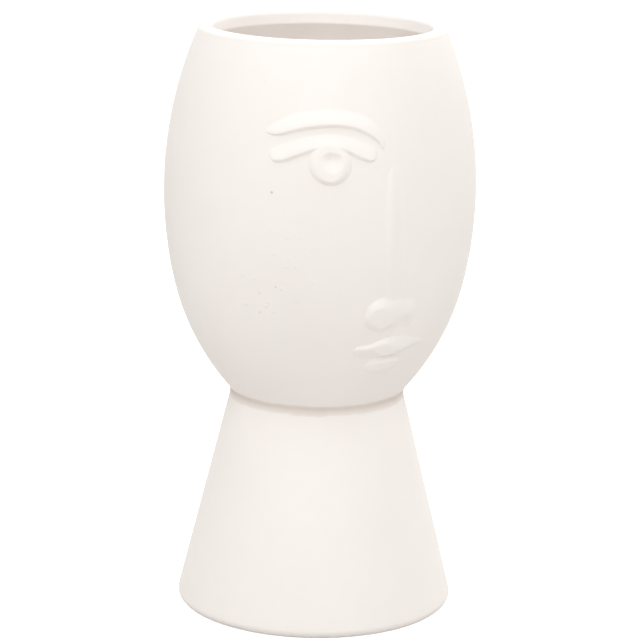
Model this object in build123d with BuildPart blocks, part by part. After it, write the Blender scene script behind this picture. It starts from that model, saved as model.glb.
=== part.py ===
"""Face vase: a barrel-shaped ceramic head luted onto a hollow conical foot, with a one-eyed face in relief.

The origin is the centre of the foot on the floor, +Z is up and the face looks along -Y.
Lengths are millimetres and angles degrees.
"""

import os
from math import acos, asin, cos, degrees, exp, hypot, radians, sin, sqrt

from build123d import *

# Head: a belly arc above and a chin arc below, with a round base that is hidden in the foot
head_radius = 60.2  # of the widest circle
widest_height = 164.1  # of the widest circle above the floor
belly_arc = 157.4  # radius of the profile at the widest circle and up to the rim
chin_drop = 34.8  # of the chin arc's start below the widest circle
chin_arc = 97.7  # radius of the profile from there down to the neck
rim_rise = 63.9  # of the rim above the widest circle
head_wall = 7.2
lip_round = 3.3  # of both edges of the rim

# Foot: a hollow cone, open underneath, whose top is dished to carry the head
neck_radius = 33.5  # outside, where the foot meets the head
foot_radius = 55.0  # where the cone's slope would meet the floor
foot_wall = 8.5
foot_outer_round = 4.3
foot_inner_round = 1.5

# Slip, fired hard, that joins the head to the foot
slip_thickness = 0.6
slip_recess = 0.7  # of the slip's edges behind the faces of the foot's wall

# Face: a place is a distance along the wall from the face's centre line and a height above the widest circle
edge_sink = 0.2  # of a relief's edges behind the wall, before it is trimmed to the wall
blank_share = 0.3  # depth of a relief's back below its edges, for its width
eye_side = -29.3
eye_rise = 20.5

# Brow: its line is in shares of its length and its rise from the centre of the eye, and of the full section
brow_length = 42.0
brow_rise = 16.2  # of its highest place above the centre of the eye
brow_width = 7.4
brow_height = 1.5
brow_lean = 5.0  # of the section, so that the flank towards the eye is the steep one
brow_line = [
    (-0.50, 0.69, 0.60),
    (-0.33, 0.84, 0.92),
    (-0.14, 0.96, 1.00),
    (0.04, 1.00, 1.00),
    (0.24, 0.94, 0.98),
    (0.40, 0.73, 0.85),
    (0.48, 0.44, 0.45),
]

# Upper eyelid: its line is given like the brow's
lid_length = 37.6
lid_rise = 8.0
lid_width = 6.9
lid_height = 1.25
lid_line = [
    (-0.56, 0.34, 0.80),
    (-0.46, 0.43, 1.00),
    (-0.20, 0.83, 0.98),
    (0.00, 1.00, 0.92),
    (0.18, 0.86, 1.00),
    (0.32, 0.58, 1.00),
    (0.44, 0.28, 0.80),
]

# Iris: a round pad with a dished pupil, tucked under the eyelid
iris_radius = 7.9
iris_height = 1.5
pupil_radius = 3.8
pupil_depth = 1.0
pupil_side = 0.8  # of the pupil's centre, to the right of the iris's
pupil_lift = 1.6  # of the pupil's centre above the iris's

# Nose: a low ridge that bows to the left, in shares of its length, of its bow and of the full section
nose_top_rise = 20.0
nose_foot_rise = -46.0
nose_bow = 5.5  # of the ridge to the left of the face's centre line
nose_width = 10.2
nose_height = 1.2
nose_line = [
    (0.00, 0.78, 0.40),
    (0.20, 0.96, 0.65),
    (0.40, 1.00, 0.85),
    (0.58, 0.89, 0.92),
    (0.74, 0.67, 0.96),
    (0.88, 0.36, 1.00),
    (1.00, 0.15, 0.80),
]

# Nostrils: shallow pellets on both sides of the foot of the ridge
nostril_middle = -1.1  # of the place between their centres
nostril_spacing = 11.0
nostril_lift = 8.6  # of their centres above the foot of the nose
nostril_width = 14.0
nostril_length = 14.8
nostril_height = 1.2
nostril_right_share = 0.75  # of that height on the right

# Mouth: the upper lip runs out into thin corners, and the lower lip is short
mouth_side = 0.8
mouth_rise = -55.4  # of the line between the lips
mouth_width = 32.0  # from corner to corner
upper_lip_span = 16.0  # between the places where the upper lip is half full
upper_lip_width = 9.0
lower_lip_span = 15.6  # from end to end
lower_lip_width = 7.4
lip_gap = 0.5
lip_height = 1.4
corner_share = 0.40  # of the upper lip's section that is left at the corners
cupid_share = 0.10  # of the upper lip's section that is missing at the mouth's centre
cupid_width = 4.0
lower_lip_taper = 0.85  # towards the ends, where 1 would be a full ellipse
lip_stations = 15

# Centres of the profile's arcs, as radius and height, and the slopes of the wall where the arcs meet
chin_angle = asin(chin_drop / belly_arc)
belly_centre = (head_radius - belly_arc, widest_height)
chin_centre = (
    belly_centre[0] + (belly_arc - chin_arc) * cos(chin_angle),
    widest_height - (belly_arc - chin_arc) * sin(chin_angle),
)
neck_angle = acos((neck_radius - chin_centre[0]) / chin_arc)
neck_height = chin_centre[1] - chin_arc * sin(neck_angle)
base_arc = neck_radius / cos(neck_angle)
base_centre = (0, neck_height + base_arc * sin(neck_angle))

rim_height = widest_height + rim_rise
foot_slant = hypot(foot_radius - neck_radius, neck_height)
foot_level_wall = foot_wall * foot_slant / neck_height  # the foot's wall measured along a level line


def head_arcs(inset):
    """The head's profile moved in by an inset, from the pole on the axis up to the level rim."""
    rim_angle = degrees(asin(rim_rise / (belly_arc - inset)))
    chin_start, neck_start = degrees(chin_angle), degrees(neck_angle)
    base = CenterArc(base_centre, base_arc - inset, -90, 90 - neck_start)
    CenterArc(chin_centre, chin_arc - inset, -neck_start, neck_start - chin_start)
    belly = CenterArc(belly_centre, belly_arc - inset, -chin_start, chin_start + rim_angle)
    return base @ 0, belly @ 1


def wall_plane(side, rise):
    """Plane that touches the head's wall at a place, with X level and Z outward."""
    height = widest_height + rise
    centre, arc = (belly_centre, belly_arc) if rise > -chin_drop else (chin_centre, chin_arc)
    slope = asin((height - centre[1]) / arc)
    radius = centre[0] + arc * cos(slope)
    turn = side / radius
    outward = (sin(turn) * cos(slope), -cos(turn) * cos(slope), sin(slope))
    return Plane((radius * sin(turn), -radius * cos(turn), height), (cos(turn), sin(turn), 0), outward)


def arch_sections(stations, lean=0.0):
    """Low arches across a line on the wall, from stations of side, rise, width and height."""
    planes = [wall_plane(side, rise) for side, rise, _, _ in stations]
    path = Spline(*[plane.origin for plane in planes])
    sections = []
    for plane, (_, _, width, height) in zip(planes, stations):
        along = path.tangent_at(path.param_at_point(plane.origin))
        sink = edge_sink + width**2 / (8 * head_radius)  # the wall curves away under a wide relief
        root = plane.origin - plane.z_dir * (sink + sin(radians(lean)) * width / 2)
        across = Plane(root, x_dir=plane.z_dir.cross(along), z_dir=along).rotated((0, 0, lean))
        with BuildSketch(across) as section:
            with BuildLine():
                ThreePointArc((-width / 2, 0), (0, height + sink), (width / 2, 0))
                ThreePointArc((width / 2, 0), (0, -blank_share * width), (-width / 2, 0))
            make_face()
        sections.append(section.sketch)
    return sections


def eye_stations(line, length, rise, width, height):
    """Stations of a line that is given in shares of a length and a rise from the centre of the eye."""
    stations = []
    for x, z, share in line:
        stations.append((eye_side + x * length, eye_rise + z * rise, width * share, height * share))
    return stations


# Outer form of the head without its hollow, which trims the reliefs, and the same form grown by the slip
with BuildPart() as head_form:
    with BuildSketch(Plane.XZ):
        with BuildLine():
            pole, edge = head_arcs(0)
            Polyline(edge, (0, rim_height), pole)
        make_face()
    revolve(axis=Axis.Z)
with BuildPart() as seat_form:
    with BuildSketch(Plane.XZ):
        with BuildLine():
            pole, edge = head_arcs(-slip_thickness)
            Polyline(edge, (0, rim_height), pole)
        make_face()
    revolve(axis=Axis.Z)

# Head: the bowl that holds the water, with a rounded lip
with BuildPart() as head_vessel:
    with BuildSketch(Plane.XZ) as shell:
        with BuildLine():
            pole, edge = head_arcs(0)
            hollow_pole, hollow_edge = head_arcs(head_wall)
            Line(pole, hollow_pole)
            Line(edge, hollow_edge)
        make_face()
        fillet(shell.vertices().group_by(Axis.Y)[-1], min(lip_round, 0.47 * head_wall))
    revolve(axis=Axis.Z)
head_vessel.part.label = "head_vessel"

# Foot: a hollow cone with a rounded standing ring and a dished seat
with BuildPart() as pedestal_foot:
    with BuildSketch(Plane.XZ) as wall:
        with BuildLine():
            Polyline(
                (foot_radius, 0),
                (neck_radius, neck_height),
                (neck_radius - foot_level_wall, neck_height),
                (foot_radius - foot_level_wall, 0),
                close=True,
            )
        make_face()
        fillet(wall.vertices().sort_by(Axis.X)[-1], min(foot_outer_round, 0.55 * foot_wall))
        inner_corner = wall.vertices().group_by(Axis.Y)[0].sort_by(Axis.X)[0]
        fillet(inner_corner, min(foot_inner_round, 0.25 * foot_wall))
    revolve(axis=Axis.Z)
    add(seat_form.part, mode=Mode.SUBTRACT)
pedestal_foot.part.label = "pedestal_foot"

# Slip between the head and the seat, set back from both faces of the foot's wall
with BuildPart() as luting_ring:
    with BuildSketch():
        Circle(neck_radius - slip_recess)
        Circle(neck_radius - foot_level_wall + slip_recess, mode=Mode.SUBTRACT)
    extrude(amount=widest_height)
    add(seat_form.part, mode=Mode.INTERSECT)
    add(head_form.part, mode=Mode.SUBTRACT)
luting_ring.part.label = "luting_ring"

# Brow: a tapering coil over the eye
with BuildPart() as brow:
    stations = eye_stations(brow_line, brow_length, brow_rise, brow_width, brow_height)
    loft(arch_sections(stations, brow_lean))
    add(head_form.part, mode=Mode.SUBTRACT)
brow.part.label = "brow"

# Upper eyelid: a blunt-ended coil
with BuildPart() as upper_eyelid:
    loft(arch_sections(eye_stations(lid_line, lid_length, lid_rise, lid_width, lid_height)))
    add(head_form.part, mode=Mode.SUBTRACT)
upper_eyelid.part.label = "upper_eyelid"

# Iris: a round pad with a ball-shaped dent, cut where the eyelid covers it
eye_plane = wall_plane(eye_side, eye_rise)
pupil_ball = (pupil_radius**2 + pupil_depth**2) / (2 * pupil_depth)
with BuildPart() as iris:
    with BuildSketch(Plane(eye_plane.origin, x_dir=eye_plane.x_dir, z_dir=-eye_plane.y_dir)):
        with BuildLine():
            edge = EllipticalCenterArc((0, 0), iris_radius, iris_height, 0, arc_size=90)
            Polyline(edge @ 1, (0, -iris_height), (iris_radius, -iris_height), edge @ 0)
        make_face()
    revolve(axis=Axis(eye_plane.origin, eye_plane.z_dir))
    ball_lift = iris_height - pupil_depth + pupil_ball
    with Locations(eye_plane.from_local_coords((pupil_side, pupil_lift, ball_lift))):
        Sphere(pupil_ball, mode=Mode.SUBTRACT)
    add(head_form.part, mode=Mode.SUBTRACT)
    add(upper_eyelid.part, mode=Mode.SUBTRACT)
iris.part.label = "iris"

# Nose: one long ridge
nose_length = nose_top_rise - nose_foot_rise
with BuildPart() as nose_bridge:
    stations = []
    for place, bow, share in nose_line:
        rise = nose_top_rise - place * nose_length
        stations.append((-bow * nose_bow, rise, nose_width * share, nose_height * share))
    loft(arch_sections(stations))
    add(head_form.part, mode=Mode.SUBTRACT)
nose_bridge.part.label = "nose_bridge"

# Nostrils: parts of egg-shaped pellets, pressed against the sides of the ridge
nostril_sink = nostril_width**2 / (8 * head_radius)  # the wall curves away under a wide pellet
nostrils = []
for name, hand, share in (("nostril_left", -1, 1), ("nostril_right", 1, nostril_right_share)):
    height = nostril_height * share
    cap_height = height + nostril_sink
    pellet_radius = (nostril_width**2 / 4 + cap_height**2) / (2 * cap_height)
    pellet_half_length = nostril_length / nostril_width * pellet_radius
    side = nostril_middle + hand * nostril_spacing / 2
    pellet_plane = wall_plane(side, nose_foot_rise + nostril_lift).offset(height - pellet_radius)
    with BuildPart() as nostril:
        with BuildSketch(pellet_plane):
            with BuildLine():
                outline = EllipticalCenterArc((0, 0), pellet_radius, pellet_half_length, -90, arc_size=180)
                Line(outline @ 1, outline @ 0)
            make_face()
        revolve(axis=Axis(pellet_plane.origin, pellet_plane.y_dir))
        add(head_form.part, mode=Mode.SUBTRACT)
        add(nose_bridge.part, mode=Mode.SUBTRACT)
    nostril.part.label = name
    nostrils.append(nostril)

# Upper lip: two peaks beside a dip, running out into the corners of the mouth
with BuildPart() as upper_lip:
    stations = []
    for step in range(lip_stations):
        side = mouth_width * (step / (lip_stations - 1) - 0.5)
        fullness = 1 / (1 + (2 * side / upper_lip_span) ** 6)
        dip = cupid_share * exp(-((2 * side / cupid_width) ** 2))
        share = corner_share + (1 - corner_share) * fullness - dip
        rise = mouth_rise + (lip_gap + upper_lip_width * (1 - (1 - share) * fullness)) / 2
        stations.append((mouth_side + side, rise, upper_lip_width * share, lip_height * share))
    loft(arch_sections(stations))
    add(head_form.part, mode=Mode.SUBTRACT)
upper_lip.part.label = "upper_lip"

# Lower lip: a short full coil under the line of the mouth
with BuildPart() as lower_lip:
    stations = []
    for step in range(lip_stations):
        place = 2 * step / (lip_stations - 1) - 1
        share = sqrt(1 - lower_lip_taper * place**2)
        side = mouth_side + place * lower_lip_span / 2
        rise = mouth_rise - (lip_gap + lower_lip_width) / 2
        stations.append((side, rise, lower_lip_width * share, lip_height * share))
    loft(arch_sections(stations))
    add(head_form.part, mode=Mode.SUBTRACT)
lower_lip.part.label = "lower_lip"

os.makedirs("parts", exist_ok=True)
pieces = [head_vessel, pedestal_foot, luting_ring, brow, upper_eyelid, iris]
pieces += [nose_bridge, *nostrils, upper_lip, lower_lip]
for piece in pieces:
    export_step(piece.part, f"parts/{piece.part.label}.step")
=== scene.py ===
# Face vase in white bisque: the looks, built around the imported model
import math

import bpy
import numpy as np
from mathutils import Matrix, Vector


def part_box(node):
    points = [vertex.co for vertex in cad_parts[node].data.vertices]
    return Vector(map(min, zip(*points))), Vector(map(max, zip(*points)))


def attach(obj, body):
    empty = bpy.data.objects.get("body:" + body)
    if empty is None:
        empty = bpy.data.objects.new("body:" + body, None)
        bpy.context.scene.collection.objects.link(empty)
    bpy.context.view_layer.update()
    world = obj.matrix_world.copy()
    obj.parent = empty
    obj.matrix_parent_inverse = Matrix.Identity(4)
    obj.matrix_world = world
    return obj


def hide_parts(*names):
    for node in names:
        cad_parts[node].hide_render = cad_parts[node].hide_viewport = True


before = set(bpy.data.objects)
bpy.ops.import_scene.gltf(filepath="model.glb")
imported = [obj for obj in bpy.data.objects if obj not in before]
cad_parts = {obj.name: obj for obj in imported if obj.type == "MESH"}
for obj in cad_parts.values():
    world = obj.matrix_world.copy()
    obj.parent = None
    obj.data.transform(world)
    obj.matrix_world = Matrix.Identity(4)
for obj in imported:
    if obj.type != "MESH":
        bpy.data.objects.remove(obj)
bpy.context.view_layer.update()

mm = 0.001  # the shapes below are worked out in millimetres and scaled once, when a mesh is made
sharpFrom = math.radians(50)  # edges that turn by more are shaded as edges
scene = bpy.context.scene
print("frame: loaded", len(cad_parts), "nodes")


# Shapes shared by the pieces

def arc(centre, radius, start, end, count, outward=1):
    # part of a circle between two angles in degrees, as rows of radius, height and the outward direction
    angle = np.radians(np.linspace(start, end, count))
    across, up = np.cos(angle), np.sin(angle)
    place = [centre[0] + radius * across, centre[1] + radius * up]
    return np.stack(place + [outward * across, outward * up], axis=-1)


def joinArcs(*arcs):
    # one profile from arcs that follow each other; each later arc drops its first row, a repeat
    return np.concatenate([arcs[0]] + [part[1:] for part in arcs[1:]])


def spin(profile, count, wave=None):
    # profile carried round the upright axis and moved outwards by the wave;
    # turn 0 is the face's centre line at -Y, and turns grow towards +X
    turn = 2 * np.pi * np.arange(count)[None, :] / count
    radius, height = profile[:, 0:1], profile[:, 1:2]
    lift = wave(turn, height) if wave else np.zeros_like(turn * height)
    radius = radius + lift * profile[:, 2:3]
    height = height + lift * profile[:, 3:4]
    return np.stack([radius * np.sin(turn), -radius * np.cos(turn), height + 0 * turn], axis=-1)


def gridFaces(rows, columns, closeRows):
    # corner numbers of the quads of a grid whose columns wrap round,
    # and whose last row meets its first if asked
    row = np.arange(rows if closeRows else rows - 1)[:, None]
    column = np.arange(columns)[None, :]
    nextRow, nextColumn = (row + 1) % rows, (column + 1) % columns
    corners = [row * columns + column, row * columns + nextColumn]
    corners += [nextRow * columns + nextColumn, nextRow * columns + column]
    return np.stack([part.ravel() for part in np.broadcast_arrays(*corners)], axis=-1)


def poleFaces(firstCorner, columns, pole, flip):
    # fan of triangles between one row of the grid and its pole
    here = firstCorner + np.arange(columns)
    after = firstCorner + (np.arange(columns) + 1) % columns
    fan = [after, here] if flip else [here, after]
    return np.stack(fan + [np.full(columns, pole)], axis=-1)


def makePiece(name, grid, poles=None):
    # closed surface from a grid of points in mm that wraps round in its columns
    # and either meets itself in its rows or ends in two poles
    rows, columns = grid.shape[:2]
    points = grid.reshape(-1, 3)
    faces = [gridFaces(rows, columns, poles is None)]
    if poles is not None:
        points = np.concatenate([points, np.array(poles, float)])
        faces.append(poleFaces(0, columns, rows * columns, True))
        faces.append(poleFaces((rows - 1) * columns, columns, rows * columns + 1, False))
    corners = np.concatenate([part.ravel() for part in faces])
    sizes = np.concatenate([np.full(len(part), part.shape[1]) for part in faces])
    mesh = bpy.data.meshes.new(name)
    mesh.vertices.add(len(points))
    mesh.vertices.foreach_set("co", (points * mm).astype(np.float32).ravel())
    mesh.loops.add(len(corners))
    mesh.loops.foreach_set("vertex_index", corners.astype(np.int32))
    mesh.polygons.add(len(sizes))
    starts = np.concatenate([[0], np.cumsum(sizes)[:-1]])
    mesh.polygons.foreach_set("loop_start", starts.astype(np.int32))
    mesh.polygons.foreach_set("use_smooth", np.ones(len(sizes), bool))
    mesh.update(calc_edges=True)
    mesh.validate()
    mesh.set_sharp_from_angle(angle=sharpFrom)
    piece = bpy.data.objects.new(name, mesh)
    scene.collection.objects.link(piece)
    return piece


def dress(piece, node, material):
    # hands a piece to the frame: its finish, the body that it rides on
    # and the CAD node that it stands for
    piece.data.materials.append(material)
    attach(piece, "root")
    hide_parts(node)
    print(piece.name + ":", len(piece.data.polygons), "faces")


# Materials

mixFrom, mixTo, mixed = 6, 7, 2  # the colour sockets of a Mix node, in and out


def linear(code):
    # sRGB hex colour as linear red, green, blue and alpha
    shares = np.array([int(code[i:i + 2], 16) for i in (1, 3, 5)]) / 255
    values = np.where(shares <= 0.04045, shares / 12.92, ((shares + 0.055) / 1.055) ** 2.4)
    return (*values.tolist(), 1.0)


def addNode(tree, kind, settings=None, inputs=None):
    # one node with its settings, and for each input a value or the output that feeds it
    node = tree.nodes.new("ShaderNode" + kind)
    for key, value in (settings or {}).items():
        setattr(node, key, value)
    for key, value in (inputs or {}).items():
        if isinstance(value, bpy.types.NodeSocket):
            tree.links.new(value, node.inputs[key])
        else:
            node.inputs[key].default_value = value
    return node


def emptyMaterial(name):
    # new material and its node tree, with no nodes yet
    material = bpy.data.materials.new(name)
    material.use_nodes = True
    material.node_tree.nodes.clear()
    return material, material.node_tree


def perLength(size):
    # scale of a pattern on Object coordinates whose features are that many mm apart
    return 1 / (size * mm)


bisque = {
    "clay": "#F8F3EF",
    "shade": "#F4EEE9",  # slow drift of the clay's tone
    "pinhole": "#C4B7AB",
    "driftSize": 24.0,
    "driftDetail": 3.0,
    "driftRoughness": 0.6,
    "grainSize": 0.9,  # the real grain is about 0.1 mm, too fine to show, so it is drawn this coarse
    "grainHeight": 0.006,
    "grainDetail": 2.0,
    "grainRoughness": 0.55,
    "pinholeSpacing": 11.0,
    "pinholeSize": 0.45,
    "pinholeShare": 0.16,  # of the places that have one
    "pimpleSpacing": 3.5,
    "pimpleSize": 1.0,
    "pimpleHeight": 0.24,
    "pimpleShare": 0.6,
    "pimpleCentre": (-42.0, -38.0, 138.0),  # most are low on the left cheek
    "pimpleReach": 46.0,
    "specks": [  # place and reach in mm of the few marks that can be told apart
        ((-45.3, -39.3, 173.7), 0.75), ((-46.6, -33.6, 134.9), 0.38),
        ((-42.9, -39.0, 138.0), 0.40), ((-45.6, -32.2, 127.3), 0.46)],
    "paintedLipShade": "#F1EBE6",  # painted shade: the top of the lip drawn darker, where the lamps above light it most
    "lipShadeFrom": 224.6,  # height at which that starts
    "lipShadeFull": 227.4,  # and at which it is full
    "roughness": 0.78,
    "ior": 1.5,
    "specular": 0.3,  # chalky, so it shines less than a glaze
}


def sparseDots(tree, coords, spacing, size, share):
    # round dots, 1 at the centre and 0 at the edge, in a share of the cells of a loose packing
    cells = addNode(tree, "TexVoronoi", inputs={"Vector": coords, "Scale": perLength(spacing)})
    dot = addNode(tree, "MapRange", {"interpolation_type": "SMOOTHSTEP"}, {
        "Value": cells.outputs["Distance"], "From Max": size / spacing, "To Min": 1.0, "To Max": 0.0})
    lot = addNode(tree, "SeparateColor", inputs={"Color": cells.outputs["Color"]})
    chosen = addNode(tree, "Math", {"operation": "LESS_THAN"}, {0: lot.outputs["Red"], 1: share})
    kept = addNode(tree, "Math", {"operation": "MULTIPLY"}, {0: dot.outputs[0], 1: chosen.outputs[0]})
    return kept.outputs[0]


def dotsAt(tree, coords, dots):
    # round dots, 1 at the centre and 0 at the edge, each with its place and reach
    total = 0.0
    for place, reach in dots:
        away = addNode(tree, "VectorMath", {"operation": "DISTANCE"}, {
            0: coords, 1: [part * mm for part in place]})
        dot = addNode(tree, "MapRange", {"interpolation_type": "SMOOTHSTEP"}, {
            "Value": away.outputs["Value"], "From Max": reach * mm, "To Min": 1.0, "To Max": 0.0})
        larger = addNode(tree, "Math", {"operation": "MAXIMUM"}, {0: total, 1: dot.outputs[0]})
        total = larger.outputs[0]
    return total


def makeBisque():
    # slip-cast white earthenware, fired once and left unglazed: chalky and matte, with a fine grain
    # and a few pinholes and pimples from the plaster mould
    material, tree = emptyMaterial("whiteBisque")
    coords = addNode(tree, "TexCoord").outputs["Object"]
    drift = addNode(tree, "TexNoise", inputs={
        "Vector": coords, "Scale": perLength(bisque["driftSize"]),
        "Detail": bisque["driftDetail"], "Roughness": bisque["driftRoughness"]})
    clay = addNode(tree, "Mix", {"data_type": "RGBA"}, {
        0: drift.outputs["Fac"], mixFrom: linear(bisque["clay"]), mixTo: linear(bisque["shade"])})
    up = addNode(tree, "SeparateXYZ", inputs={"Vector": coords}).outputs["Z"]
    # painted shade: the lip's top darker from the given height up, against the lamps' light on it
    paintedLipShade = addNode(tree, "MapRange", {"interpolation_type": "SMOOTHSTEP"}, {
        "Value": up, "From Min": bisque["lipShadeFrom"] * mm, "From Max": bisque["lipShadeFull"] * mm})
    shadedLip = addNode(tree, "Mix", {"data_type": "RGBA"}, {
        0: paintedLipShade.outputs[0], mixFrom: clay.outputs[mixed], mixTo: linear(bisque["paintedLipShade"])})
    pinholes = sparseDots(
        tree, coords, bisque["pinholeSpacing"], bisque["pinholeSize"], bisque["pinholeShare"])
    specks = dotsAt(tree, coords, bisque["specks"])
    dark = addNode(tree, "Math", {"operation": "MAXIMUM"}, {0: pinholes, 1: specks})
    colour = addNode(tree, "Mix", {"data_type": "RGBA"}, {
        0: dark.outputs[0], mixFrom: shadedLip.outputs[mixed], mixTo: linear(bisque["pinhole"])})
    grain = addNode(tree, "TexNoise", inputs={
        "Vector": coords, "Scale": perLength(bisque["grainSize"]),
        "Detail": bisque["grainDetail"], "Roughness": bisque["grainRoughness"]})
    fine = addNode(tree, "Math", {"operation": "MULTIPLY"}, {
        0: grain.outputs["Fac"], 1: bisque["grainHeight"]})
    pimples = sparseDots(
        tree, coords, bisque["pimpleSpacing"], bisque["pimpleSize"], bisque["pimpleShare"])
    cheek = dotsAt(tree, coords, [(bisque["pimpleCentre"], bisque["pimpleReach"])])
    onCheek = addNode(tree, "Math", {"operation": "MULTIPLY"}, {0: pimples, 1: cheek})
    height = addNode(tree, "Math", {"operation": "MULTIPLY_ADD"}, {
        0: onCheek.outputs[0], 1: bisque["pimpleHeight"], 2: fine.outputs[0]})
    bump = addNode(tree, "Bump", inputs={"Strength": 1.0, "Distance": mm, "Height": height.outputs[0]})
    shader = addNode(tree, "BsdfPrincipled", inputs={
        "Base Color": colour.outputs[mixed], "Roughness": bisque["roughness"], "IOR": bisque["ior"],
        "Specular IOR Level": bisque["specular"], "Normal": bump.outputs["Normal"]})
    addNode(tree, "OutputMaterial", inputs={"Surface": shader.outputs["BSDF"]})
    return material


slip = {
    "clay": "#F6F0EB",
    "creaseShade": "#D6CBC1",  # painted shade, darkest in the corner between foot and head
    "driftSize": 3.0,
    "driftDetail": 3.0,
    "driftShare": 0.3,  # of the painted shade that the drift takes away
    "grainSize": 0.8,
    "grainHeight": 0.05,
    "grainDetail": 2.0,
    "roughness": 0.9,
    "ior": 1.5,
    "specular": 0.2,
}


def makeSlip():
    # slip squeezed out of the joint and wiped with a wet tool: rougher than the cast wall,
    # and greyer towards the corner with painted shade, by the piece's own corner attribute and a slow
    # drift
    material, tree = emptyMaterial("firedSlip")
    coords = addNode(tree, "TexCoord").outputs["Object"]
    drift = addNode(tree, "TexNoise", inputs={
        "Vector": coords, "Scale": perLength(slip["driftSize"]), "Detail": slip["driftDetail"]})
    corner = addNode(tree, "Attribute", {"attribute_name": "corner"})
    lighter = addNode(tree, "Math", {"operation": "MULTIPLY"}, {
        0: drift.outputs["Fac"], 1: -slip["driftShare"]})
    creaseShade = addNode(tree, "Math", {"operation": "MULTIPLY_ADD", "use_clamp": True}, {
        0: corner.outputs["Fac"], 1: lighter.outputs[0], 2: corner.outputs["Fac"]})
    colour = addNode(tree, "Mix", {"data_type": "RGBA"}, {
        0: creaseShade.outputs[0], mixFrom: linear(slip["clay"]), mixTo: linear(slip["creaseShade"])})
    grain = addNode(tree, "TexNoise", inputs={
        "Vector": coords, "Scale": perLength(slip["grainSize"]), "Detail": slip["grainDetail"]})
    height = addNode(tree, "Math", {"operation": "MULTIPLY"}, {
        0: grain.outputs["Fac"], 1: slip["grainHeight"]})
    bump = addNode(tree, "Bump", inputs={"Strength": 1.0, "Distance": mm, "Height": height.outputs[0]})
    shader = addNode(tree, "BsdfPrincipled", inputs={
        "Base Color": colour.outputs[mixed], "Roughness": slip["roughness"], "IOR": slip["ior"],
        "Specular IOR Level": slip["specular"], "Normal": bump.outputs["Normal"]})
    addNode(tree, "OutputMaterial", inputs={"Surface": shader.outputs["BSDF"]})
    return material


whiteBisque = makeBisque()
firedSlip = makeSlip()
print("materials: made", whiteBisque.name, firedSlip.name)


# Head: belly arc above, chin arc below, round base hidden in the foot, rounded lip, and the same inside

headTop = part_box("head_vessel")[1]
head = {
    "widestRadius": headTop.x / mm,
    "rimHeight": headTop.z / mm,
    "widestHeight": 164.1,
    "bellyArc": 157.4,
    "chinDrop": 34.8,
    "chinArc": 97.7,
    "neckRadius": 33.5,
    "wall": 7.2,
    "lipRound": 3.2,
    "bevelDepth": 5.2,  # of the bevel inside the lip, down to the middle of the throat's round
    "bevelLean": 12.0,  # degrees from upright
    "topRound": 2.8,
    "throatRound": 1.6,
    "waveDepth": 0.2,  # slow hollows left by the mould and the sponge
    "waves": [(3, 37.0, 0.0), (2, -23.0, 1.3), (5, 19.0, 4.1)],  # lobes round, mm up per radian, phase
    "rows": {  # of points on each part of the section
        "base": 16, "chin": 44, "belly": 74, "lip": 12, "top": 10, "bevel": 6, "throat": 12,
        "innerBelly": 44, "innerChin": 20, "innerBase": 14,
    },
    "around": 400,
}
chinAngle = math.asin(head["chinDrop"] / head["bellyArc"])
arcStep = head["bellyArc"] - head["chinArc"]
bellyCentre = (head["widestRadius"] - head["bellyArc"], head["widestHeight"])
chinCentre = (
    bellyCentre[0] + arcStep * math.cos(chinAngle), bellyCentre[1] - arcStep * math.sin(chinAngle))
neckAngle = math.acos((head["neckRadius"] - chinCentre[0]) / head["chinArc"])
neckHeight = chinCentre[1] - head["chinArc"] * math.sin(neckAngle)
baseArc = head["neckRadius"] / math.cos(neckAngle)
baseCentre = (0.0, neckHeight + baseArc * math.sin(neckAngle))


def castWave(turn, height):
    # sum of long sine waves round and up the wall, moved so that it only ever sinks the wall
    wave = sum(np.sin(lobes * turn + height / length + phase) for lobes, length, phase in head["waves"])
    return head["waveDepth"] * (wave / len(head["waves"]) - 1) / 2


def headProfile():
    # outside from its pole up to the lip, the lip with a straight bevel inside,
    # and the inside down to its own pole
    rows = head["rows"]
    wall, lip, top, throat = (head[key] for key in ("wall", "lipRound", "topRound", "throatRound"))
    bevel = math.radians(head["bevelLean"])
    lipHeight, throatHeight = head["rimHeight"] - lip, head["rimHeight"] - head["bevelDepth"]
    lipReach, throatReach = head["bellyArc"] - lip, head["bellyArc"] - wall + throat
    lipStop = math.asin((lipHeight - bellyCentre[1]) / lipReach)
    throatStop = math.asin((throatHeight - bellyCentre[1]) / throatReach)
    outerLip = (bellyCentre[0] + lipReach * math.cos(lipStop), lipHeight)
    throatCentre = (bellyCentre[0] + throatReach * math.cos(throatStop), throatHeight)
    drop = head["bevelDepth"] - top
    # step between the two rounds' centres at which the bevel touches both
    across = (math.sin(bevel) * drop + top - throat) / math.cos(bevel)
    innerLip = (throatCentre[0] + across, head["rimHeight"] - top)
    chin, neck = math.degrees(chinAngle), math.degrees(neckAngle)
    lipEnd, throatEnd = math.degrees(lipStop), math.degrees(throatStop)
    outside = joinArcs(
        arc(baseCentre, baseArc, -90, -neck, rows["base"]),
        arc(chinCentre, head["chinArc"], -neck, -chin, rows["chin"]),
        arc(bellyCentre, head["bellyArc"], -chin, lipEnd, rows["belly"]),
        arc(outerLip, lip, lipEnd, 90, rows["lip"]),
    )
    topRound = arc(innerLip, top, 90, 180 - head["bevelLean"], rows["top"])
    throatRound = arc(throatCentre, throat, 180 - head["bevelLean"], 180 + throatEnd, rows["throat"])
    bevelFace = np.linspace(topRound[-1], throatRound[0], rows["bevel"])[1:-1]
    inside = joinArcs(
        arc(bellyCentre, head["bellyArc"] - wall, throatEnd, -chin, rows["innerBelly"], -1),
        arc(chinCentre, head["chinArc"] - wall, -chin, -neck, rows["innerChin"], -1),
        arc(baseCentre, baseArc - wall, -neck, -90, rows["innerBase"], -1),
    )
    return np.concatenate([outside, topRound, bevelFace, throatRound, inside[1:]])


profile = headProfile()
headPiece = makePiece("headVessel", spin(profile[1:-1], head["around"], castWave), (
    (0, 0, profile[0, 1]), (0, 0, profile[-1, 1])))
dress(headPiece, "head_vessel", whiteBisque)


# Foot: hollow cone with a rounded standing ring, whose top is dished to carry the head

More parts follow.
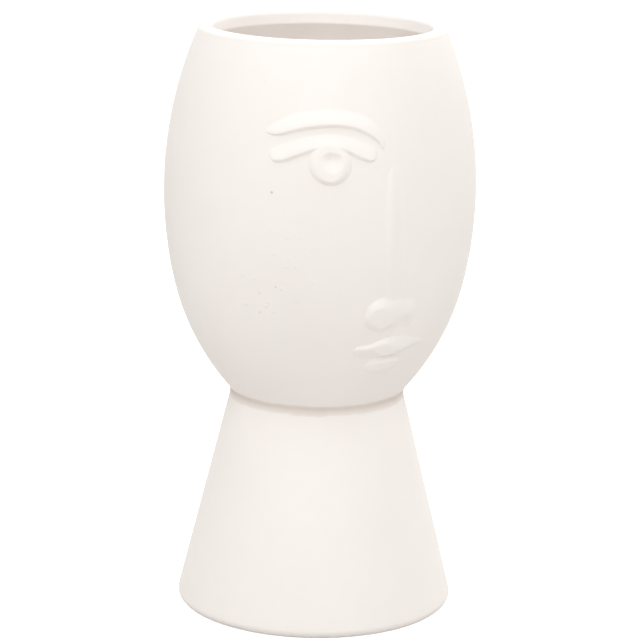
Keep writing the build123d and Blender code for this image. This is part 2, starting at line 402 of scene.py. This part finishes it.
foot = {
    "floorRadius": 54.7,  # where the cone's slope would meet the floor
    "wall": 8.5,
    "outerRound": 2.8,
    "innerRound": 1.5,
    "seatGap": 0.6,  # slip between the seat and the head
    "edgeRound": 0.5,  # of the top edge
    "edgeShares": [(0.12, 0.45), (0.55, 0.12)],  # two points on that round, in and down, as shares of it
    "innerEdge": (0.05, 0.4),  # width and depth of the bevel at the seat's inner edge
    "seatSearch": 16.0,  # length below the neck in which the seat's edges are looked for
    "searchSteps": 4001,
    "rows": {"outerArc": 12, "cone": 60, "seat": 12, "hollow": 36, "innerArc": 8},
    "around": 360,
}
footRun = foot["floorRadius"] - head["neckRadius"]
footLean = math.atan2(footRun, neckHeight)  # of the wall from upright


def wallPoint(shift, height):
    # radius and height of the foot's cone, moved in by the shift
    return np.array([foot["floorRadius"] - shift - footRun * height / neckHeight, height])


def seatHeight(radius):
    # height of the seat: a little under the chin's arc outside the neck,
    # and under the base's arc inside it
    chinSeat, baseSeat = head["chinArc"] + foot["seatGap"], baseArc + foot["seatGap"]
    underChin = chinCentre[1] - np.sqrt(chinSeat**2 - (radius - chinCentre[0]) ** 2)
    underBase = baseCentre[1] - np.sqrt(baseSeat**2 - radius**2)
    return np.where(radius > chinCentre[0] + chinSeat * math.cos(neckAngle), underChin, underBase)


def footProfile():
    # outer round of the standing ring, cone, dished seat on the head's own arcs,
    # inner cone and inner round
    rows = foot["rows"]
    levelWall = foot["wall"] / math.cos(footLean)
    outerRound, innerRound, edgeRound = foot["outerRound"], foot["innerRound"], foot["edgeRound"]

    def topOf(shift):
        # height at which the seat cuts the cone
        heights = np.linspace(neckHeight - foot["seatSearch"], neckHeight, foot["searchSteps"])
        return np.interp(0, heights - seatHeight(wallPoint(shift, heights)[0]), heights)

    outerCentre = wallPoint(outerRound / math.cos(footLean), outerRound)
    innerCentre = wallPoint(levelWall - innerRound / math.cos(footLean), innerRound)
    outerTop, innerTop = topOf(0), topOf(levelWall)
    lean = math.degrees(footLean)
    outerArc = arc(outerCentre, outerRound, -90, lean, rows["outerArc"])[:, :2]
    innerArc = arc(innerCentre, innerRound, 180 + lean, 270, rows["innerArc"])[:, :2]
    cone = np.linspace(outerArc[-1], wallPoint(0, outerTop - edgeRound), rows["cone"])
    edge = [
        wallPoint(inward * edgeRound, outerTop - down * edgeRound)
        for inward, down in foot["edgeShares"]]
    bevelWidth, bevelDepth = foot["innerEdge"]
    seatOuter = wallPoint(0, outerTop)[0] - edgeRound
    seatInner = wallPoint(levelWall, innerTop)[0] + bevelWidth
    radius = np.linspace(seatOuter, seatInner, rows["seat"])
    seat = np.stack([radius, seatHeight(radius)], axis=-1)
    hollow = np.linspace(wallPoint(levelWall, innerTop - bevelDepth), innerArc[0], rows["hollow"])
    return np.concatenate([outerArc, cone[1:], edge, seat, hollow, innerArc[1:]])


footRows = footProfile()
footRows = np.concatenate([footRows, np.zeros_like(footRows)], axis=1)  # outward columns of 0
footPiece = makePiece("pedestalFoot", spin(footRows, foot["around"]))
dress(footPiece, "pedestal_foot", whiteBisque)


# Slip in the joint, wiped to a hollow fillet between the foot's wall and the head's

ring = {
    "lowSpread": 3.8,  # of the fillet down the foot
    "highSpread": 2.4,  # and up the head
    "ragged": 0.5,  # wander of its two edges
    "wander": [  # lobes, phase and share of each wave
        (7, 0, 1.0), (11, 2, 1.0), (23, 1, 1.0), (41, 3, 0.7)],
    "edgeDip": 0.06,  # of both edges behind the walls
    "creaseShadeAt": (0.0, 0.65, 1.0),  # none, most and none on the way up the fillet
    "recess": 0.7,  # of the part inside the joint
    "rows": 9,  # of points on each of its three sides
    "around": 360,
}


def slipGrid():
    # closed section: out along the seat, up the fillet and in along the head; the fillet is a quadratic
    # Bezier whose middle control point is the corner between foot and head, and its edges wander round
    # the neck by a sum of sine waves
    turn = 2 * np.pi * np.arange(ring["around"])[None, :] / ring["around"]
    wander = sum(share * np.sin(lobes * turn + phase) for lobes, phase, share in ring["wander"])
    waves = len(ring["wander"])
    low = ring["lowSpread"] + ring["ragged"] * wander / waves
    high = ring["highSpread"] - ring["ragged"] * wander[:, ::-1] / waves
    lowEdge = [head["neckRadius"] + low * math.sin(footLean) - ring["edgeDip"] * math.cos(footLean),
               neckHeight - low * math.cos(footLean) - ring["edgeDip"] * math.sin(footLean)]
    slope = neckAngle - high / head["chinArc"]
    reach = head["chinArc"] - ring["edgeDip"] + castWave(turn, neckHeight + high * math.cos(neckAngle))
    highEdge = [chinCentre[0] + reach * np.cos(slope), chinCentre[1] - reach * np.sin(slope)]
    t = np.linspace(0, 1, ring["rows"])[:, None]
    fillet = [(1 - t) ** 2 * a + 2 * t * (1 - t) * b + t**2 * c
              for a, b, c in zip(lowEdge, (head["neckRadius"], neckHeight), highEdge)]
    innerEnd = head["neckRadius"] - foot["wall"] + ring["recess"]
    outerEnd = head["neckRadius"] - ring["recess"]
    inside = np.linspace(innerEnd, outerEnd, ring["rows"])
    inside = np.broadcast_to(inside[:, None], (ring["rows"], ring["around"]))
    onHead = baseCentre[1] - np.sqrt(baseArc**2 - inside**2)
    onSeat = baseCentre[1] - np.sqrt((baseArc + foot["seatGap"]) ** 2 - inside**2)
    radius = np.concatenate([inside, fillet[0], inside[::-1]])
    height = np.concatenate([onSeat, fillet[1], onHead[::-1]])
    return np.stack([radius * np.sin(turn), -radius * np.cos(turn), height], axis=-1)


ringPiece = makePiece("lutingRing", slipGrid())
# painted shade in the crease: the corner attribute, most at the fillet's fold and full on the hidden
# sides
acrossFillet = np.interp(np.linspace(0, 1, ring["rows"]), ring["creaseShadeAt"], (0, 1, 0))
alongSides = np.ones(ring["rows"])
creaseShadeShare = np.r_[alongSides, acrossFillet, alongSides]
corner = ringPiece.data.attributes.new("corner", "FLOAT", "POINT")
corner.data.foreach_set("value", np.repeat(creaseShadeShare, ring["around"]).astype(np.float32))
dress(ringPiece, "luting_ring", firedSlip)


# Face: each relief is a low form on the wall, placed by mm along the wall from the face's centre line
# and by its rise above the widest circle

relief = {
    "edgeDip": 0.06,  # of every edge behind the wall, so that no gap shows
    "backDepth": 0.6,  # of every hidden back behind the wall
    "coverSink": 0.05,  # of a face that lies under a neighbour's
    "coverFade": 0.3,  # lift of the neighbour at which that sink is full
    "least": 0.06,  # smallest width or share that is divided by
    "meldPower": 6,  # the higher, the tighter the crease where reliefs run together
    "steps": 150,  # along a coil
    "across": 36,
    "coilBack": (0.9, 5),  # reach of a coil's hidden back to both sides, and its points
    "rings": 44,  # of a pad
    "around": 120,
    "padBack": (0.9, 0.5),  # reach of the rings of a pad's hidden back
}


def layOnWall(side, rise, lift):
    # point of the wall at a place, moved out along the wall's normal by the lift
    height = head["widestHeight"] + rise
    onBelly = rise > -head["chinDrop"]
    centreRadius = np.where(onBelly, bellyCentre[0], chinCentre[0])
    centreHeight = np.where(onBelly, bellyCentre[1], chinCentre[1])
    reach = np.where(onBelly, head["bellyArc"], head["chinArc"])
    slope = np.arcsin((height - centreHeight) / reach)
    radius = centreRadius + reach * np.cos(slope)
    turn = side / radius
    out = lift + castWave(turn, height)
    radius = radius + out * np.cos(slope)
    height = height + out * np.sin(slope)
    return np.stack([radius * np.sin(turn), -radius * np.cos(turn), height], axis=-1)


def smoothLine(rows, share):
    # Catmull-Rom curve through rows of numbers, each column by itself, with its ends carried on straight
    rows = np.array(rows, float)
    ends = np.concatenate([[2 * rows[0] - rows[1]], rows, [2 * rows[-1] - rows[-2]]])
    place = share * (len(rows) - 1)
    span = np.minimum(place.astype(int), len(rows) - 2)
    t = (place - span)[:, None]
    a, b, c, d = (ends[span + i] for i in range(4))
    slope, bend, twist = c - a, 2 * a - 5 * b + 4 * c - d, 3 * b - a - 3 * c + d
    return 0.5 * (2 * b + slope * t + bend * t**2 + twist * t**3)


def flank(share, crisp):
    # rise from 0 at an edge to 1 inside it: crisp 1 leaves the wall steeply, crisp 0 leaves it softly
    t = np.clip(share, 0, 1)
    return crisp * (1 - (1 - t) ** 2) + (1 - crisp) * t * t * (3 - 2 * t)


def traceCoil(coil):
    # middle line of a coil, its unit normal, and its half width, lift and two flanks on the way;
    # the width and the lift are drawn in to nothing at its two round ends
    share = (1 - np.cos(np.linspace(0, np.pi, relief["steps"]))) / 2  # closer together at both ends
    line = smoothLine(coil["line"], share)
    place = line[:, :2]
    along = np.gradient(place, axis=0)
    along /= np.linalg.norm(along, axis=1, keepdims=True)
    normal = np.stack([-along[:, 1], along[:, 0]], axis=-1)
    travel = np.r_[0, np.cumsum(np.linalg.norm(np.diff(place, axis=0), axis=1))]
    ends = np.minimum(travel / coil["startRound"], (travel[-1] - travel) / coil["endRound"])
    full = np.sqrt(1 - (1 - np.clip(ends, 0, 1)) ** 2)
    flanks = [
        np.interp(share, np.linspace(0, 1, len(coil[key])), coil[key])
        for key in ("lowFlank", "highFlank")]
    return place, normal, line[:, 2] * full, line[:, 3] * full, *flanks


def coilSection(coil, v, lowFlank, highFlank):
    # share of the lift across a coil, from its lower edge at -1 to its upper edge at 1
    low = flank((1 + v) / lowFlank, coil["lowCrisp"])
    high = flank((1 - v) / highFlank, coil["highCrisp"])
    return low * high


def coilLift(coil):
    # function that gives the coil's lift at any place, from the nearest point of its middle line
    place, normal, halfWidth, lift, lowFlank, highFlank = traceCoil(coil)

    def liftAt(side, rise):
        away = np.stack([side, rise], axis=-1)[..., None, :] - place
        near = np.argmin((away**2).sum(-1), axis=-1)
        offset = np.take_along_axis(away, near[..., None, None], axis=-2)[..., 0, :]
        v = (offset * normal[near]).sum(-1) / np.maximum(halfWidth[near], relief["least"])
        return lift[near] * coilSection(coil, np.clip(v, -1, 1), lowFlank[near], highFlank[near])

    return liftAt


def meld(*lifts):
    # soft union of lifts: the sum of their powers, and its root
    power = relief["meldPower"]
    return sum(np.maximum(lift, 0) ** power for lift in lifts) ** (1 / power)


def joinLifts(own, side, rise, joined, cover=None):
    # own lift melted into the neighbours', and sunk a little where a neighbour's face covers it
    lift = meld(own, *[liftAt(side, rise) for liftAt in joined])
    if cover is None:
        return lift
    over = cover(side, rise)
    return meld(lift, over) - relief["coverSink"] * np.clip(over / relief["coverFade"], 0, 1)


def makeCoil(name, node, coil, joined=()):
    # closed grid of a coil: its face from the upper to the lower edge, and its back inside the wall
    place, normal, halfWidth, lift, lowFlank, highFlank = traceCoil(coil)
    front = np.sin(np.linspace(np.pi / 2, -np.pi / 2, relief["across"]))  # closer together at both edges
    backReach, backPoints = relief["coilBack"]
    v = np.r_[front, np.linspace(-backReach, backReach, backPoints)][None, :]
    isFace = np.arange(v.size)[None, :] < relief["across"]
    spot = place[:, None, :] + (v * halfWidth[:, None])[..., None] * normal[:, None, :]
    side, rise = spot[..., 0], spot[..., 1]
    own = lift[:, None] * coilSection(coil, v, lowFlank[:, None], highFlank[:, None])
    face = joinLifts(own, side, rise, joined) - relief["edgeDip"]
    grid = layOnWall(side, rise, np.where(isFace, face, -relief["backDepth"]))[1:-1]
    tips = place[[0, -1]]
    tipLift = joinLifts(np.zeros(2), tips[:, 0], tips[:, 1], joined) - relief["edgeDip"]
    piece = makePiece(name, grid, layOnWall(tips[:, 0], tips[:, 1], tipLift))
    dress(piece, node, whiteBisque)


# Eye: rows of a line are side and rise from the eye's centre, half width and lift
eye = {"side": -29.3, "rise": 20.5}


def fromEye(rows):
    # the same rows measured from the face's centre line and the widest circle
    return [(side + eye["side"], rise + eye["rise"], width, lift) for side, rise, width, lift in rows]


brow = {
    "line": fromEye([
        (-23.0, 11.0, 1.8, 0.6), (-17.2, 12.6, 2.8, 1.15), (-11.4, 14.7, 3.4, 1.3),
        (-5.0, 16.0, 3.5, 1.35), (1.5, 16.5, 3.5, 1.35), (7.0, 16.2, 3.5, 1.35),
        (12.4, 14.8, 3.4, 1.3), (17.0, 12.0, 3.0, 1.15), (19.8, 8.5, 2.0, 0.9),
        (20.9, 4.8, 1.0, 0.5)]),
    "lowFlank": [0.34], "lowCrisp": 0.5, "highFlank": [1.66], "highCrisp": 0.3,
    "startRound": 4.0, "endRound": 3.0,
}
lid = {
    "line": fromEye([
        (-22.4, 2.7, 2.6, 0.9), (-18.0, 3.4, 3.3, 1.2), (-12.3, 5.5, 3.3, 1.2),
        (-6.5, 7.3, 3.1, 1.1), (0.0, 8.2, 2.9, 1.0), (6.5, 7.4, 3.2, 1.1),
        (11.5, 5.2, 3.5, 1.2), (15.5, 3.2, 3.0, 1.15), (17.5, 2.1, 2.5, 0.85)]),
    "lowFlank": [0.36], "lowCrisp": 0.5, "highFlank": [1.64], "highCrisp": 0.3,
    "startRound": 1.8, "endRound": 1.8,
}
iris = {
    "side": eye["side"], "rise": eye["rise"], "lift": 1.5, "tilt": -0.18,
    "edge": (0.36, 0.36, 0.24), "crisp": 0.6,
    "leftReach": 8.1, "rightReach": 8.1, "lowReach": 7.8,
    "topReach": 9.4,  # runs on under the eyelid
}
pupil = {  # scooped out of the iris, steep above its deepest point and gentle below it
    "side": eye["side"] + 0.8, "rise": eye["rise"] + 1.6, "depth": 1.3, "power": 1.5,
    "leftReach": 4.0, "rightReach": 4.0, "topReach": 2.8, "lowReach": 5.2,
}


def padReach(pad, side, rise):
    # share of the way from a pad's middle to its oval outline, which has its own reach on each
    # of four sides, and the shares of that way which are to the right and upwards
    x, y = side - pad["side"], rise - pad["rise"]
    across = x / np.where(x > 0, pad["rightReach"], pad["leftReach"])
    up = y / np.where(y > 0, pad["topReach"], pad["lowReach"])
    reach = np.hypot(across, up)
    divisor = np.maximum(reach, relief["least"])
    return reach, across / divisor, up / divisor


def padLift(pad):
    # function that gives a pad's lift at any place: its face leans by the tilt over its height,
    # and its edge rounds over a share of the reach that may differ on the left, on the right
    # and at the lower left
    def liftAt(side, rise):
        reach, rightward, upward = padReach(pad, side, rise)
        leftEdge, rightEdge, lowEdge = pad["edge"]
        edge = leftEdge + (rightEdge - leftEdge) * (1 + rightward) / 2
        edge = edge + (lowEdge - edge) * np.clip(-upward, 0, 1) ** 2 * np.clip(1 - rightward, 0, 1)
        lean = 1 + pad["tilt"] * (rise - pad["rise"]) / pad["topReach"]
        return pad["lift"] * lean * flank((1 - reach) / edge, pad["crisp"])

    return liftAt


def irisLift(side, rise):
    # lift of the iris less the pupil's hollow, a power of 1 minus the square of the share of its reach
    hollow = np.clip(1 - padReach(pupil, side, rise)[0] ** 2, 0, 1) ** pupil["power"]
    return padLift(iris)(side, rise) - pupil["depth"] * hollow


def makePad(name, node, pad, ownLift, joined=(), cover=None):
    # closed grid of a pad: rings of its face from the middle outwards, then rings of its back inwards
    share = np.r_[np.linspace(0, 1, relief["rings"] + 1)[1:], relief["padBack"]][:, None]
    isFace = np.arange(share.size)[:, None] < relief["rings"]
    turn = 2 * np.pi * np.arange(relief["around"])[None, :] / relief["around"]
    x, y = -np.sin(turn), -np.cos(turn)
    side = pad["side"] + share * x * np.where(x > 0, pad["rightReach"], pad["leftReach"])
    rise = pad["rise"] + share * y * np.where(y > 0, pad["topReach"], pad["lowReach"])

    def face(atSide, atRise):
        return joinLifts(ownLift(atSide, atRise), atSide, atRise, joined, cover) - relief["edgeDip"]

    grid = layOnWall(side, rise, np.where(isFace, face(side, rise), -relief["backDepth"]))
    middle = np.full(2, pad["side"]), np.full(2, pad["rise"])
    poles = layOnWall(*middle, np.where([True, False], face(*middle), -relief["backDepth"]))
    dress(makePiece(name, grid, poles), node, whiteBisque)


makeCoil("browCoil", "brow", brow)
makeCoil("upperEyelid", "upper_eyelid", lid, (irisLift,))
makePad("irisPad", "iris", iris, irisLift, cover=coilLift(lid))

# Nose: a low ridge, steeper on its left, that runs into two wings at its foot;
# its line runs down the face, so its low side is the left one
nose = {
    "line": [
        (-4.2, 21.0, 2.4, 0.15), (-4.9, 14.0, 3.6, 0.5), (-5.0, 4.0, 4.0, 0.85),
        (-4.9, -8.0, 4.1, 0.95), (-4.3, -18.0, 4.2, 0.85), (-3.2, -27.0, 4.4, 0.6),
        (-2.0, -35.0, 4.6, 0.5), (-1.2, -45.0, 3.6, 0.5)],
    "lowFlank": [0.6], "lowCrisp": 0.0, "highFlank": [1.4], "highCrisp": 0.0,
    "startRound": 8.0, "endRound": 4.0,
}
wingLeft = {
    "side": -6.2, "rise": -37.3, "lift": 1.8, "tilt": 0.06, "edge": (0.28, 1.1, 0.38), "crisp": 0.45,
    "leftReach": 7.4, "rightReach": 12.0, "topReach": 7.2, "lowReach": 7.0,
}
wingRight = {
    "side": 4.0, "rise": -37.4, "lift": 1.05, "tilt": 0.1, "edge": (0.9, 0.9, 1.2), "crisp": 0.0,
    "leftReach": 6.4, "rightReach": 6.4, "topReach": 6.6, "lowReach": 8.0,
}
leftLift, rightLift, noseLift = padLift(wingLeft), padLift(wingRight), coilLift(nose)
makeCoil("noseBridge", "nose_bridge", nose, (leftLift, rightLift))
makePad("nostrilLeft", "nostril_left", wingLeft, leftLift, (rightLift,), noseLift)
makePad("nostrilRight", "nostril_right", wingRight, rightLift, (leftLift,), noseLift)

# Mouth: the upper lip has two peaks and soft tails, and the lower lip is short and full
upperLip = {
    "line": [
        (-15.0, -51.6, 2.0, 0.8), (-11.2, -52.2, 2.7, 1.2), (-7.9, -52.1, 3.1, 1.25),
        (-4.9, -51.4, 3.5, 1.4), (-2.0, -51.0, 4.1, 1.5), (1.2, -50.7, 4.0, 1.4),
        (4.3, -50.5, 3.6, 1.25), (7.5, -50.6, 3.1, 0.95), (11.0, -50.9, 2.6, 0.5),
        (14.8, -51.2, 1.8, 0.3), (18.2, -51.5, 1.1, 0.15)],
    "lowFlank": [1.8, 1.8, 1.6, 0.55, 0.33, 0.3, 0.32, 0.4, 0.9, 1.0, 1.0], "lowCrisp": 0.7,
    "highFlank": [0.6, 0.45, 0.42, 0.45, 0.6, 1.2, 1.6, 1.6, 1.2, 1.0, 1.0], "highCrisp": 0.45,
    "startRound": 1.8, "endRound": 4.0,
}
lowerLip = {
    "line": [
        (-9.2, -59.2, 1.8, 0.2), (-6.0, -59.2, 3.2, 0.9), (-2.4, -59.1, 3.9, 1.3),
        (1.4, -58.9, 3.9, 1.25), (4.8, -58.7, 3.3, 0.8), (7.4, -58.4, 1.9, 0.2)],
    "lowFlank": [1.0, 0.8, 0.7, 0.7, 0.8, 1.0], "lowCrisp": 0.3,
    "highFlank": [0.9, 0.7, 0.6, 0.6, 0.7, 0.9], "highCrisp": 0.7,
    "startRound": 3.0, "endRound": 3.0,
}
makeCoil("upperLip", "upper_lip", upperLip)
makeCoil("lowerLip", "lower_lip", lowerLip)


# Studio: a pale floor that shows white but keeps the shadow, soft lamps,
# and the camera at the photograph's view

studio = {
    "floor": "#D0CECC",
    "floorSize": 16.0,  # metres
    "floorGlow": 0.96,  # added for the camera alone, so that the lit floor is white
    "skyLight": 0.22,
    "lamps": [  # name, place and side in metres, and power in watts
        ("frontLamp", (-0.85, -1.36, 1.15), 1.3, 15.7),
        ("leftLamp", (-1.14, 0.24, 1.5), 1.2, 13.0),
        ("rightLamp", (0.72, -0.92, 1.5), 1.2, 10.6),
        ("backRightLamp", (1.74, 0.33, 0.9), 1.2, 8.4),
        ("backLamp", (0.53, 0.85, 1.6), 1.4, 22.5),
    ],
    "lampAim": (0.0, 0.0, 0.15),
    "cameraPlace": (-0.5468, -0.8750, 0.3653),
    "cameraPitch": 0.2406,
    "cameraYaw": 0.0008,
    "cameraRoll": 0.0161,
    "lens": 153.4,
    "sensor": 36.0,
}


def seenDirectly(tree):
    # 1 for what the camera, a reflection or clear glass sees, 0 for what lights the scene
    path = addNode(tree, "LightPath")
    glossy = addNode(tree, "Math", {"operation": "MAXIMUM"}, {
        0: path.outputs["Is Camera Ray"], 1: path.outputs["Is Glossy Ray"]})
    return addNode(tree, "Math", {"operation": "MAXIMUM"}, {
        0: glossy.outputs[0], 1: path.outputs["Is Transmission Ray"]}).outputs[0]


def makeFloor():
    # square floor at the height of the standing ring
    half = studio["floorSize"] / 2
    corners = [(-half, -half, 0), (half, -half, 0), (half, half, 0), (-half, half, 0)]
    mesh = bpy.data.meshes.new("floor")
    mesh.from_pydata(corners, [], [(0, 1, 2, 3)])
    floor = bpy.data.objects.new("floor", mesh)
    scene.collection.objects.link(floor)
    material, tree = emptyMaterial("paintedFloor")  # matte paint, even and pale
    paint = addNode(tree, "BsdfDiffuse", inputs={"Color": linear(studio["floor"])})
    strength = addNode(tree, "Math", {"operation": "MULTIPLY"}, {
        0: seenDirectly(tree), 1: studio["floorGlow"]})
    glow = addNode(tree, "Emission", inputs={"Strength": strength.outputs[0]})
    both = addNode(tree, "AddShader", inputs={0: paint.outputs[0], 1: glow.outputs[0]})
    addNode(tree, "OutputMaterial", inputs={"Surface": both.outputs[0]})
    mesh.materials.append(material)


def makeSky():
    # white to the eye, and an even soft light on everything else
    world = bpy.data.worlds.new("studioSky")
    world.use_nodes = True
    tree = world.node_tree
    tree.nodes.clear()
    strength = addNode(tree, "MapRange", inputs={
        "Value": seenDirectly(tree), "To Min": studio["skyLight"], "To Max": 1.0})
    sky = addNode(tree, "Background", inputs={"Color": (1, 1, 1, 1), "Strength": strength.outputs[0]})
    addNode(tree, "OutputWorld", inputs={"Surface": sky.outputs[0]})
    scene.world = world


def makeLamps():
    # soft square lamps, turned to the vase and hidden from the camera
    for name, place, side, power in studio["lamps"]:
        lamp = bpy.data.lights.new(name, "AREA")
        lamp.shape = "SQUARE"
        lamp.size = side
        lamp.energy = power
        holder = bpy.data.objects.new(name, lamp)
        holder.location = place
        holder.visible_camera = False
        towards = Vector(studio["lampAim"]) - Vector(place)
        holder.rotation_euler = towards.to_track_quat("-Z", "Y").to_euler()
        scene.collection.objects.link(holder)


def makeCamera():
    # level heading from the camera's place to the vase's axis, turned by the yaw,
    # tipped by the pitch, then rolled
    place = Vector(studio["cameraPlace"])
    heading = math.atan2(-place.x, -place.y) + studio["cameraYaw"]
    pitch, roll = studio["cameraPitch"], studio["cameraRoll"]
    ahead = Vector((
        math.sin(heading) * math.cos(pitch), math.cos(heading) * math.cos(pitch), -math.sin(pitch)))
    right = ahead.cross(Vector((0, 0, 1))).normalized()
    up = right.cross(ahead)
    rolledRight = math.cos(roll) * right + math.sin(roll) * up
    rolledUp = math.cos(roll) * up - math.sin(roll) * right
    lens = bpy.data.cameras.new("camera")
    lens.lens, lens.sensor_width = studio["lens"], studio["sensor"]
    camera = bpy.data.objects.new("camera", lens)
    turned = Matrix((rolledRight, rolledUp, -ahead)).transposed().to_4x4()
    camera.matrix_world = Matrix.Translation(place) @ turned
    scene.collection.objects.link(camera)
    scene.camera = camera


makeFloor()
makeSky()
makeLamps()
makeCamera()
scene.view_settings.view_transform = "Standard"
print("studio: floor, sky,", len(studio["lamps"]), "lamps and camera")
